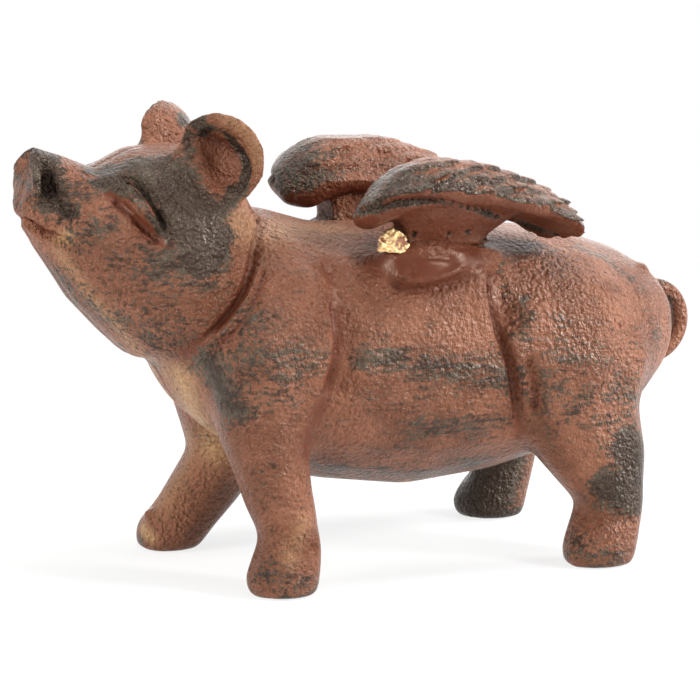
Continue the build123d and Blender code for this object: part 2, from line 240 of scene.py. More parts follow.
def paintedIron(look):
    p = Paint("paintedIron")
    patinaAndShade = p.attribute("patinaAndShade")
    relief = p.attribute("relief")
    # light layer: worn paint and painted highlights
    wornAndLit = p.attribute("light")
    calmShade = p.attribute("calmShade")  # smooth, where the sand's grain doesn't show, and painted shade in creases and under the wings
    sand = p.noise(*look["sand"])
    beads = p.cells(look["beads"], "SMOOTH_F1")
    streaks = p.noise(*look["streaks"])
    strokes = p.noise(*look["strokes"])
    patches = p.noise(*look["patches"])

    tone = p.mix(patches.step(*look["patchEdge"]), look["red"], look["lightRed"])
    # painted shade: darker red in hollows and on the smooth shaded layer
    tone = p.mix((relief * -1).step(*look["grooveShadeEdge"]), tone, look["grooveShade"])
    tone = p.mix(calmShade * look["calmShadeShare"], tone, look["grooveShade"])
    everywhere, onGrains = look["tanCover"]
    tone = p.mix(wornAndLit * (everywhere + onGrains * sand), tone, look["tan"])

    cover = look["cover"]
    shown = (patinaAndShade + relief * cover["relief"] + (streaks - 0.5) * cover["streaks"]
             + (strokes - 0.5) * cover["strokes"] + (sand - 0.5) * cover["sand"] - calmShade * cover["calmShade"])
    mask = shown.step(*look["coverEdge"])
    black = patinaAndShade.step(*look["thickEdge"]) * look["thickBlack"]
    grey = p.noise(*look["smudges"]).step(*look["smudgeEdge"]) * (1 - black)
    dark = p.mix(grey, look["patinaAndShade"], look["patinaGrey"])
    colour = p.mix(mask * look["coverMost"], tone, dark)

    shape = look["grains"]
    grains = (sand * shape["sand"] - beads * shape["beads"]) * (1 - calmShade * shape["calmShade"])
    normal = p.bump(grains, look["grainHeight"])
    pits = p.cells(look["pits"]).step(*look["pitEdge"])
    normal = p.bump(pits, look["pitDepth"], normal, look["pitStrength"])

    dulled = look["dulled"]
    rough = (look["roughness"] + (sand - 0.5) * dulled["sand"]
             + patches.step(*look["dulledEdge"]) * dulled["patches"]
             - mask * dulled["patinaAndShade"] + calmShade * dulled["calmShade"])
    return p.finish({"Base Color": colour, "Roughness": rough, "Normal": normal,
                     "Specular IOR Level": look["gloss"], "Specular Tint": look["sheen"]})


# Yellow braze, half painted over
brazePaint = {
    "metal": (0.86, 0.64, 0.32),
    "film": (0.24, 0.09, 0.045),
    "smears": (260, 3, 0.6),
    "specks": (1500, 2, 0.5),
    "speckShare": 0.3,
    "filmEdge": (0.60, 0.74),
    "crust": (1500, 3, 0.6),
    "crustHeight": 0.00012,
    "metallic": 0.5,
    "roughness": 0.42,
    "filmRoughness": 0.1,  # on top of the metal's
}


def brazeMetal(look):
    p = Paint("brazeMetal")
    smears = p.noise(*look["smears"]) + p.noise(*look["specks"]) * look["speckShare"]
    film = smears.step(*look["filmEdge"])
    metallic = look["metallic"] - film * look["metallic"]
    return p.finish({"Base Color": p.mix(film, look["metal"], look["film"]),
                     "Metallic": metallic,
                     "Roughness": look["roughness"] + film * look["filmRoughness"],
                     "Normal": p.bump(p.noise(*look["crust"]), look["crustHeight"])})


# Dull steel of the screw
steelPaint = {
    "metal": (0.42, 0.40, 0.38),
    "tarnish": (0.16, 0.10, 0.075),
    "stains": (700, 4, 0.6),
    "stainEdge": (0.45, 0.7),
    "stainMatt": 0.6,  # how much less metallic
    "grain": (2600, 2, 0.5),
    "grainHeight": 0.00004,
    "roughness": 0.34,
    "stainRoughness": 0.25,  # on top of the metal's
}


def screwSteel(look):
    p = Paint("screwSteel")
    stain = p.noise(*look["stains"]).step(*look["stainEdge"])
    return p.finish({"Base Color": p.mix(stain, look["metal"], look["tarnish"]),
                     "Metallic": 1 - stain * look["stainMatt"],
                     "Roughness": look["roughness"] + stain * look["stainRoughness"],
                     "Normal": p.bump(p.noise(*look["grain"]), look["grainHeight"])})


iron = paintedIron(ironPaint)
brass = brazeMetal(brazePaint)
steel = screwSteel(steelPaint)
print("finishes made")


# In metres: points nearer than the first are one, and faces within the second lie on the middle plane
mergeGap = 1e-7
middleGap = 2e-6


# A mesh copy of CAD nodes with its loose triangles merged
def joinedCopy(name, nodes, withoutMiddle=False):
    shape = bmesh.new()
    for node in nodes:
        shape.from_mesh(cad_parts[node].data)
    bmesh.ops.remove_doubles(shape, verts=shape.verts, dist=mergeGap)
    if withoutMiddle:  # the faces where the two castings meet
        flat = [face for face in shape.faces if all(abs(v.co.y) < middleGap for v in face.verts)]
        bmesh.ops.delete(shape, geom=flat, context="FACES")
    mesh = bpy.data.meshes.new(name)
    shape.to_mesh(mesh)
    shape.free()
    return mesh


def evaluatedMesh(obj):
    bpy.context.view_layer.update()
    return bpy.data.meshes.new_from_object(obj.evaluated_get(bpy.context.evaluated_depsgraph_get()))


def voxelSkin(mesh, size):
    obj = bpy.data.objects.new("block", mesh)
    bpy.context.scene.collection.objects.link(obj)
    remesh = obj.modifiers.new("voxels", "REMESH")
    remesh.mode = "VOXEL"
    remesh.voxel_size = size * mm
    skin = evaluatedMesh(obj)
    bpy.data.objects.remove(obj)
    return skin


# 0 at the start, 1 at the end, straight between them
def ramp(values, start, end):
    return np.clip((values - start) / (end - start), 0, 1)


# What the tools for the skin do
clayTools = {
    "pull": 0.5,  # share of the way to its neighbours' middle that a point goes in a pass
    "giveBack": 1.04,  # and of that way back, where the size is kept
    "still": 0.003,  # a point with less weight stays
    "away": 0.15,  # a curve doesn't reach skin that faces away from it by more
    "facing": (-0.25, 0.25),  # a swelling fades out on skin that faces away from its middle
    "strokeEnd": 0.2,  # share of a stroke over which it fades in, and out
    "reach": {"stroke": 3, "soften": 2, "brush": 2.5},  # widths
    "dot": 1e-4,  # a dab at one place is a line of this length
    "reliefPull": 0.6,
}
tiny = 1e-9


# A skin of quads that is worked on in millimetres
class Clay:
    def __init__(self, mesh):
        points = np.empty(len(mesh.vertices) * 3)
        mesh.vertices.foreach_get("co", points)
        corners = np.empty(len(mesh.loops), int)
        mesh.loops.foreach_get("vertex_index", corners)
        self.points = points.reshape(-1, 3) / mm
        self.quads = corners.reshape(-1, 4)
        self.layers = {}
        self.keepLargest()
        self.findPairs()

    def findPairs(self):
        ends = np.concatenate([np.roll(self.quads, k, 1)[:, :2] for k in range(4)])
        self.pairs = np.unique(np.sort(ends, 1), axis=0)
        self.count = np.bincount(self.pairs.ravel(), minlength=len(self.points))[:, None]

    # Leaves only the outer shell, without the hollow's wall
    def keepLargest(self):
        label = np.arange(len(self.points))
        first, second = self.quads[:, [0, 1, 2]].ravel(), self.quads[:, [1, 2, 3]].ravel()
        while True:
            low = np.minimum(label[first], label[second])
            fresh = label.copy()
            np.minimum.at(fresh, first, low)
            np.minimum.at(fresh, second, low)
            fresh = fresh[fresh]
            if (fresh == label).all():
                break
            label = fresh
        names, sizes = np.unique(label, return_counts=True)
        keep = label == names[sizes.argmax()]
        place = np.cumsum(keep) - 1
        self.quads = place[self.quads[keep[self.quads].all(1)]]
        self.points = self.points[keep]

    def around(self, values):  # each point's neighbours' mean
        a, b = self.pairs.T
        total = np.empty_like(values)
        for axis in range(values.shape[1]):
            total[:, axis] = (np.bincount(a, values[b, axis], len(values))
                              + np.bincount(b, values[a, axis], len(values)))
        return total / self.count

    def smooth(self, times, where=None, keepSize=False):
        if where is None:
            where = np.ones(len(self.points))
        moving = where > clayTools["still"]
        rows = self.pairs[moving[self.pairs].any(1)]
        used = np.unique(rows)
        place = np.zeros(len(self.points), int)
        place[used] = np.arange(len(used))
        a, b = place[rows].T
        count = self.count[used]
        share = clayTools["pull"] * (where * moving)[used, None]
        part = self.points[used]

        def drift():
            total = np.empty_like(part)
            for axis in range(3):
                total[:, axis] = (np.bincount(a, part[b, axis], len(used))
                                  + np.bincount(b, part[a, axis], len(used)))
            return (total / count - part) * share

        for _ in range(times):
            part += drift()
            if keepSize:
                part -= drift() * clayTools["giveBack"]
        self.points[used] = part

    def normals(self):
        a, b, c, d = (self.points[self.quads[:, k]] for k in range(4))
        across = np.cross(c - a, d - b)
        total = np.zeros_like(self.points)
        for k in range(4):
            for axis in range(3):
                total[:, axis] += np.bincount(self.quads[:, k], across[:, axis], len(total))
        return total / np.maximum(np.linalg.norm(total, axis=1, keepdims=True), tiny)

    # Brings the facings and the search tree up to the present shape
    def settle(self):
        self.facing = self.normals()
        self.tree = BVHTree.FromPolygons(self.points.tolist(), self.quads.tolist())

    # Where a pixel of the photograph falls on the skin; mirrored looks from the pig's other side
    def seen(self, pixels, mirrored=False):
        found = []
        focal = view["lens"] / view["sensor"] * view["picture"]
        middle = view["picture"] / 2
        flip = Vector((1, -1 if mirrored else 1, 1))
        for u, v in pixels:
            ray = viewRight * ((u - middle) / focal) + viewUp * ((middle - v) / focal) - viewBack
            place, normal, _, _ = self.tree.ray_cast(viewPoint * flip, ray.normalized() * flip)
            if place:
                found.append((*place, *normal))
        return np.array(found)

    def placed(self, places):  # points given in millimetres, brought onto the skin
        found = []
        for place in places:
            near, normal, _, _ = self.tree.find_nearest(Vector(place))
            found.append((*near, *normal))
        return np.array(found)

    # How near each point of the skin is to a curve, as (indices, distance, side, share along)
    def along(self, curve, reach):
        fine = smoothCurve(curve)
        low, high = fine[:, :3].min(0) - reach, fine[:, :3].max(0) + reach
        near = np.where(((self.points > low) & (self.points < high)).all(1))[0]
        q = self.points[near]
        best = np.full(len(near), np.inf)
        side = np.zeros(len(near))
        share = np.zeros(len(near))
        facing = np.zeros(len(near))
        for k in range(len(fine) - 1):
            a, b = fine[k, :3], fine[k + 1, :3]
            run = b - a
            t = np.clip((q - a) @ run / max(run @ run, tiny), 0, 1)
            off = q - (a + t[:, None] * run)
            gap = np.linalg.norm(off, axis=1)
            closer = gap < best
            out = fine[k, 3:] + fine[k + 1, 3:]
            best[closer] = gap[closer]
            side[closer] = np.sign(off[closer] @ np.cross(run, out))
            share[closer] = (k + t[closer]) / (len(fine) - 1)
            facing[closer] = self.facing[near[closer]] @ out / np.linalg.norm(out)
        good = (best < reach) & (facing > clayTools["away"])
        return near[good], best[good], side[good], share[good]

    # Presses (or with a minus sign raises) the skin along a curve; step lifts its right side over its left
    def stroke(self, curve, width, depth, step):
        if len(curve) < 2:
            return
        which, gap, side, share = self.along(curve, width * clayTools["reach"]["stroke"])
        ends = ramp(np.minimum(share, 1 - share), 0, clayTools["strokeEnd"])
        ends = ends * ends * (3 - 2 * ends)
        x = gap / width
        push = -depth * np.exp(-x * x) + step * side * x * np.exp(0.5 - 0.5 * x * x)
        self.points[which] += self.facing[which] * (push * ends)[:, None]

    # Moves the skin round a place by a soft amount, outward or in a given direction
    def swell(self, place, radius, amount, direction=None):
        gap = (self.points - np.array(place[:3])) / np.array(radius)
        soft = np.exp(-(gap * gap).sum(1))
        if len(place) == 6:
            soft = soft * ramp(self.facing @ np.array(place[3:]), *clayTools["facing"])
        move = self.facing if direction is None else np.array(direction)[None, :]
        self.points += move * (soft * amount)[:, None]

    # Evens out the skin near a curve
    def soften(self, curve, width, times):
        which, gap, _, _ = self.along(curve, width * clayTools["reach"]["soften"])
        where = np.zeros(len(self.points))
        where[which] = np.exp(-(gap / width) ** 4)
        self.smooth(times, where)

    # Melts everything round a place together, whichever way it faces
    def melt(self, place, radius, times):
        gap = np.linalg.norm(self.points - place[:3], axis=1) / radius
        self.smooth(times, np.exp(-gap ** 4))

    # Brushes an amount onto a painted layer along a curve
    def brush(self, layer, curve, width, amount):
        values = self.layers.setdefault(layer, np.zeros(len(self.points)))
        if len(curve) == 1:
            curve = np.concatenate([curve, curve + clayTools["dot"]])
        if len(curve) < 2:
            return
        which, gap, _, _ = self.along(curve, width * clayTools["reach"]["brush"])
        values[which] = np.maximum(values[which], amount * np.exp(-(gap / width) ** 2))

    # How far each point stands out of (or with a minus sign lies in) the skin around it
    def reliefLayer(self, times):
        soft = self.points.copy()
        for _ in range(times):
            soft += (self.around(soft) - soft) * clayTools["reliefPull"]
        self.layers["relief"] = ((self.points - soft) * self.normals()).sum(1)

    def keepInside(self, box):  # its corners in metres
        low, high = (np.array(corner) / mm for corner in box)
        self.points = np.clip(self.points, low, high)

    def toMesh(self, name):
        mesh = bpy.data.meshes.new(name)
        mesh.from_pydata((self.points * mm).tolist(), [], self.quads.tolist())
        for key, values in self.layers.items():
            mesh.attributes.new(key, "FLOAT", "POINT").data.foreach_set("value", values.astype(np.float32))
        mesh.polygons.foreach_set("use_smooth", [True] * len(mesh.polygons))
        mesh.update()
        return mesh


# Leaves the mesh on one side of the middle plane and closes the cut with flat faces
def halved(mesh, side):
    cut = bmesh.new()
    cut.from_mesh(mesh)
    bmesh.ops.bisect_plane(cut, geom=cut.verts[:] + cut.edges[:] + cut.faces[:], dist=mergeGap,
                           plane_co=(0, 0, 0), plane_no=(0, side, 0), clear_inner=True)
    rim = [edge for edge in cut.edges if edge.is_boundary]
    made = bmesh.ops.triangle_fill(cut, edges=rim, use_beauty=True, normal=(0, -side, 0))["geom"]
    caps = {part for part in made if isinstance(part, bmesh.types.BMFace)}
    for face in cut.faces:
        face.smooth = face not in caps
    bmesh.ops.recalc_face_normals(cut, faces=cut.faces)
    print(mesh.name, "has", len(caps), "faces in the cut,",
          sum(len(edge.link_faces) != 2 for edge in cut.edges), "edges left open")
    cut.to_mesh(mesh)
    cut.free()
    mesh.update()
    return mesh


# A smooth run through a few points, with this many steps between two of them
def smoothCurve(curve, steps=8):
    if len(curve) < 3:
        return curve[:1] + (curve[-1:] - curve[:1]) * np.linspace(0, 1, 6)[:, None]
    ends = np.concatenate([2 * curve[:1] - curve[1:2], curve, 2 * curve[-1:] - curve[-2:-1]])
    fine = []
    for k in range(len(curve) - 1):
        a, b, c, d = ends[k:k + 4]
        for t in np.arange(steps) / steps:
            fine.append(0.5 * (2 * b + (c - a) * t + (2 * a - 5 * b + 4 * c - d) * t * t
                               + (3 * b - a - 3 * c + d) * t ** 3))
    fine.append(curve[-1])
    return np.array(fine)


def addPiece(name, mesh, finish, slot, *replaced):
    mesh.materials.clear()
    mesh.materials.append(finish)
    piece = bpy.data.objects.new(name, mesh)
    bpy.context.scene.collection.objects.link(piece)
    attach(piece, "root")
    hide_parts(*replaced)


# The pig's body, in millimetres
body = {
    "voxel": 0.46,
    "softening": 26,
    "evening": 34,  # passes that take the facets off trunk and legs
    "snoutFade": (-56, -52),  # X over which the evening starts
    "tailFade": (56, 53),  # and ends
    "earsSpared": (64, -24),  # it leaves out what is above and before these
    "earsWorked": (61, -48, -20),  # the ears are above the first and between the others
    "earEvening": 50,
    "earRounding": 10,
    "lastSoftening": 2,
    "farMelt": 0.7,  # share of the near side's radius
    "ankle": (-25, -19, 10.5),  # the near front leg is slimmest here
    "ankleReach": (8, 8, 3.5),
    "anklePress": -0.9,
    "seamDepth": 0.2,
    "seamWidth": 0.45,
    "layers": {"patinaAndShade": 0.12, "light": 0.0, "calmShade": 0.0},
    "reliefPasses": 14,
}

# Pixels, width, passes: forms that flow into each other
bodySoftened = [
    ([(372, 262), (400, 270), (440, 272), (480, 262)], 5.0, 70),
    ([(372, 240), (372, 262)], 3.0, 50),
    ([(488, 240), (488, 285), (480, 310)], 4.0, 70),
    ([(370, 300), (430, 312), (490, 310)], 4.5, 90),
    ([(176, 150), (180, 180), (200, 205)], 3.6, 60),
    ([(215, 240), (235, 290), (200, 350)], 5.0, 50),
    ([(235, 268), (216, 300), (184, 344), (152, 364)], 3.5, 90),
]

# Pixel, radius, passes
bodyMelted = [
    ((180, 160), 4.2, 300),  # the ear's rim goes over into the cheek
    ((186, 190), 4.0, 400),
    ((198, 204), 2.6, 200),
    ((312, 432), 5.5, 250),  # front leg into the belly
    ((47, 180), 2.2, 14),  # edge of the nostril
]

# Pixel, radius, outward amount
bodySwells = [
    ((408, 258), 4.2, 1.5),  # boss under the wing
    ((432, 258), 4.6, 1.6),
    ((458, 258), 4.2, 1.4),
    ((205, 175), 3.4, 1.0),
    ((262, 350), 8.5, 2.8),  # shoulder
    ((300, 305), 6.0, 1.3),
    ((585, 305), 10.0, 1.5),  # haunch
    ((527, 318), 3.2, 0.8),
    ((445, 325), 8.5, 1.3),  # flank under the wing
    ((136, 213), 2.4, 0.9),  # eyeball
    ((110, 180), 1.8, 0.8),  # brow
    ((158, 200), 2.6, 0.5),
    ((96, 228), 4.5, 1.0),  # cheek
    ((62, 240), 1.8, 0.6),  # lip's corner
    ((634, 452), 5.0, 1.2),  # hock
    ((300, 525), 3.5, 0.6),  # knee
    ((252, 584), 2.6, 0.7),  # toe
    ((572, 552), 2.6, 0.7),
    ((150, 515), 1.0, 1.2),  # burr
    ((642, 268), 1.4, 0.9),  # nub above the tail
]

# Pixels, width, depth, step, and whether the far side has it too
bodyStrokes = [
    # jowl crease, a ridge between two grooves
    ([(251, 188), (256, 215), (256, 248), (245, 286), (221, 322), (186, 354)], 0.75, 1.5, 0.0, True),
    ([(262, 206), (262, 250), (251, 289), (227, 326), (192, 359)], 0.6, -0.5, 0.0, True),
    ([(268, 208), (267, 254), (256, 293), (232, 331), (196, 365)], 0.9, 0.8, 0.0, True),
    # shoulder's rear crease, its ridge and the hollow behind it
    ([(331, 290), (338, 318), (339, 345), (333, 375), (324, 404)], 0.9, 1.3, 0.0, True),
    ([(328, 262), (334, 282), (338, 305)], 2.4, 0.8, 0.0, True),
    ([(336, 290), (349, 330), (347, 372), (334, 408)], 2.2, 1.3, 0.0, True),
    # haunch crease and second crease
    ([(486, 246), (492, 285), (499, 325), (511, 362), (517, 400), (519, 436)], 0.9, 1.9, 0.0, True),
    ([(497, 258), (506, 300), (514, 340)], 2.6, 1.6, 0.0, True),
    ([(478, 262), (484, 300), (492, 340)], 2.0, -0.7, 0.0, True),
    ([(527, 352), (535, 384), (533, 420)], 1.2, 0.9, 0.0, True),
    # upper lid line of the closed eye
    ([(117, 176), (130, 180), (142, 189), (152, 203), (161, 221), (168, 238)], 0.65, 1.7, 0.3, True),
    # groove below the eye, with a ridge in it
    ([(108, 192), (122, 204), (138, 221), (152, 235), (167, 245)], 1.2, 1.7, 0.0, True),
    ([(120, 190), (136, 206), (152, 224), (165, 240)], 0.7, -1.0, 0.0, True),
    # mouth and lip
    ([(18, 217), (30, 226), (42, 234), (58, 240), (70, 244)], 0.65, 1.5, 0.4, True),
    ([(84, 202), (80, 222), (72, 240)], 0.9, -0.8, 0.0, True),
    ([(52, 196), (62, 206), (73, 216)], 1.3, 1.2, 0.0, True),
    # snout's front rim and the hollow behind it
    ([(35, 148), (37, 176), (36, 204)], 0.6, -1.5, 0.0, True),
    ([(44, 158), (46, 176), (46, 196)], 1.2, 0.9, 0.0, True),
    ([(58, 162), (62, 184)], 1.6, -0.5, 0.0, True),
    # top edge of the ear's hollow
    ([(192, 128), (210, 138), (232, 150), (247, 165), (244, 182), (232, 194)], 0.9, 0.7, 0.0, False),
    # folds and lower edge of the boss
    ([(392, 272), (412, 281), (440, 277), (472, 263)], 0.7, -0.9, 0.0, True),
    ([(388, 280), (410, 290), (442, 287), (478, 272)], 1.2, 1.2, 0.0, True),
    ([(398, 258), (410, 266), (414, 276)], 0.7, 0.6, 0.0, True),
    ([(404, 262), (430, 256), (462, 260)], 0.7, 0.5, 0.0, True),
    # above the hooves
    ([(254, 546), (285, 551), (319, 545)], 1.8, 0.7, 0.0, True),
    ([(574, 516), (600, 522), (634, 514)], 1.8, 0.7, 0.0, True),
    # belly flash
    ([(312, 479), (350, 481), (408, 481)], 0.5, -0.35, 0.0, False),
]

# Painted layers: pixels, width, amount
bodyDabs = {
    # Dark patina, with painted shade at the places marked below
    "patinaAndShade": [
        ([(42, 154), (46, 176), (50, 198)], 2.8, 2.0),
        ([(40, 182), (52, 200), (72, 214)], 2.2, 1.2),
        ([(29, 150), (20, 205)], 1.6, 0.5),
        ([(100, 182), (122, 186)], 2.2, 1.3),
        ([(98, 174), (130, 168), (168, 164)], 3.2, 1.1),
        ([(119, 177), (142, 189), (161, 221), (168, 238)], 0.9, 1.6),
        ([(146, 184), (160, 204), (172, 232)], 3.6, 1.1),
        ([(178, 190), (196, 215), (204, 248)], 5.0, 1.9),
        ([(160, 258), (205, 266)], 5.0, 0.85),
        ([(64, 188), (88, 196)], 3.0, 0.6),
        ([(80, 236), (108, 222)], 3.6, 0.65),
        ([(60, 280), (130, 330), (175, 335)], 6.5, 0.55),
        # painted shade in the throat's slit
        ([(120, 344), (147, 361)], 0.6, 1.2),
        ([(120, 262), (160, 300)], 6.0, 0.45),
        ([(188, 120), (206, 130), (236, 146), (248, 162), (245, 182), (232, 198), (222, 210)], 1.3, 1.7),
        ([(184, 118), (198, 122)], 1.6, 1.4),
        ([(186, 138), (190, 156)], 1.8, 1.0),
        ([(232, 190), (228, 204)], 1.6, 1.4),
        ([(210, 366), (232, 404)], 4.8, 1.0),
        ([(250, 340), (265, 380), (310, 360)], 8.0, 0.6),
        ([(425, 370), (508, 376)], 4.5, 0.7),
        ([(420, 430), (508, 420)], 4.5, 0.6),
        ([(362, 360), (400, 362)], 2.5, 0.95),
        ([(380, 400), (480, 400)], 6.0, 0.4),
        # painted shade under the belly
        ([(330, 470), (480, 462)], 3.5, 0.75),
        # painted shade in the haunch crease
        ([(501, 268), (511, 334)], 1.2, 0.7),
        ([(526, 304), (526, 340)], 2.6, 0.6),
        ([(545, 390), (630, 400)], 7.0, 0.6),
        ([(560, 350), (620, 440)], 8.0, 0.5),
        ([(600, 330), (640, 340)], 5.0, 0.35),
        ([(630, 446), (640, 490), (612, 486)], 4.2, 1.6),
        ([(575, 245), (610, 262), (640, 290)], 2.5, 0.6),
        ([(658, 330), (644, 400)], 4.0, 0.5),
        ([(262, 572), (304, 582)], 3.0, 0.6),
        ([(250, 592), (283, 597), (316, 588)], 1.0, 1.0),
        ([(572, 545), (620, 558)], 3.5, 0.6),
        ([(566, 556), (600, 567), (634, 560)], 1.0, 0.9),
        ([(560, 420), (625, 425)], 5.0, 0.45),
        ([(140, 540), (196, 547)], 1.2, 0.8),
        ([(205, 440), (250, 520)], 3.5, 0.3),
        ([(270, 480), (290, 540)], 5.0, 0.3),
    ],
    # Partly worn paint, partly painted highlights where light falls, as on the chest, the front leg, the
    # ear's back and the neck
    "light": [
        ([(182, 380), (195, 415), (214, 448)], 3.4, 0.8),
        ([(190, 440), (165, 500)], 3.0, 0.35),
        ([(143, 528), (151, 538)], 1.1, 1.0),
        ([(290, 560), (305, 520)], 1.6, 0.3),
        ([(60, 238), (68, 236)], 1.2, 0.8),
        ([(340, 479), (405, 481)], 0.8, 0.8),
        ([(60, 255), (120, 330), (165, 375)], 1.6, 0.4),
        ([(228, 118), (250, 138), (258, 160)], 1.8, 0.3),
        ([(238, 225), (330, 228)], 3.5, 0.35),
    ],
    # Smooth skin that also gets painted shade: in creases, the ear's hollow and the boss under the wing
    "calmShade": [
        ([(257, 204), (257, 248), (246, 286), (222, 322), (187, 354)], 1.3, 1.0),
        ([(328, 262), (336, 296), (339, 335), (333, 375), (322, 405), (306, 455)], 1.8, 1.0),
        ([(486, 246), (492, 285), (499, 325), (511, 362), (517, 400), (519, 436)], 1.2, 1.0),
        ([(210, 150), (225, 165), (215, 185)], 4.0, 0.6),
        ([(385, 262), (430, 268), (475, 258)], 4.4, 1.3),
        ([(110, 194), (138, 221), (167, 245)], 1.3, 1.3),
    ],
}

# The same at places in millimetres: on the far rear leg, the rump and the tail's root
bodyPlaces = {
    "patinaAndShade": [
        # the far rear leg: patina, and painted shade where the body shadows it
        ([(34, 18, 24), (36, 20, 12), (34, 21, 2)], 9.0, 2.4),
        ([(34, 12, 20), (32, 16, 6)], 6.0, 2.2),
        ([(58, 0, 46), (62, 0, 42)], 2.5, 0.6),
        ([(45, 20, 20), (46, 20, 14)], 4.0, 1.0),
    ],
}


def evenBody(clay):
    clay.smooth(body["softening"], keepSize=True)
    x, _, z = clay.points.T
    above, before = body["earsSpared"]
    spared = np.where((z > above) & (x < before), 0, 1)
    clay.smooth(body["evening"], ramp(x, *body["snoutFade"]) * ramp(x, *body["tailFade"]) * spared)
    above, first, last = body["earsWorked"]
    ears = np.where((z > above) & (x < last) & (x > first), 1.0, 0.0)
    clay.smooth(body["earEvening"], ears, keepSize=True)
    clay.smooth(body["earRounding"], ears)
    clay.smooth(body["lastSoftening"])
    clay.settle()


def sculptBody(clay):
    for pixels, width, passes in bodySoftened:
        for mirrored in (False, True):
            clay.soften(clay.seen(pixels, mirrored), width, passes)
    for pixel, radius, passes in bodyMelted:
        for mirrored in (False, True):
            for place in clay.seen([pixel], mirrored):
                clay.melt(place, radius * (body["farMelt"] if mirrored else 1), passes)
    clay.settle()
    for pixel, radius, amount in bodySwells:
        for mirrored in (False, True):
            for place in clay.seen([pixel], mirrored):
                clay.swell(place, radius, amount)
    clay.swell(body["ankle"], body["ankleReach"], body["anklePress"])
    clay.settle()
    for pixels, width, depth, step, both in bodyStrokes:
        clay.stroke(clay.seen(pixels), width, depth, step)
        if both:
            clay.stroke(clay.seen(pixels, True), width, depth, -step)
    clay.smooth(1)
    clay.settle()
    seam = np.exp(-(clay.points[:, 1] / body["seamWidth"]) ** 2) * body["seamDepth"]
    clay.points -= clay.facing * seam[:, None]
    clay.keepInside(cadBox)


def paintBody(clay):
    for layer, ground in body["layers"].items():
        clay.layers[layer] = np.full(len(clay.points), ground)
        for pixels, width, amount in bodyDabs[layer]:
            for mirrored in (False, True):
                clay.brush(layer, clay.seen(pixels, mirrored), width, amount)
        for places, width, amount in bodyPlaces.get(layer, []):
            clay.brush(layer, clay.placed(places), width, amount)
    clay.reliefLayer(body["reliefPasses"])


def makeBody():
    castings = joinedCopy("bodyCopy", ("body_left_half", "body_right_half"), withoutMiddle=True)
    clay = Clay(voxelSkin(castings, body["voxel"]))
    print("body skin", len(clay.points), "points")
    evenBody(clay)
    sculptBody(clay)
    paintBody(clay)
    for name, side, node in (("leftHalf", -1, "body_left_half"), ("rightHalf", 1, "body_right_half")):
        addPiece(name, halved(clay.toMesh(name), side), iron, "painted_iron", node)
    print("body sculpted")


makeBody()


# The small feathers laid over the top of the wings; lengths in millimetres
feather = {
    "length": 5.6,
    "width": 3.0,
    "thickness": 0.95,
    "rowGap": 3.7,
    "sideGap": 2.55,
    "rows": 17,
    "inRow": 13,
    "tilt": 11.0,  # degrees
    "fan": 14.0,  # sideways turn, per metre from the wing's middle line
    "sizes": (0.86, 1.14),
    "ball": (14, 9),  # segments and rings that one is made from
    "seed": 4,
    "upFacing": 0.74,  # they lie only where the wing faces up by more
    "above": 5.0,  # they drop onto the wing from here
    "drop": 30.0,
}


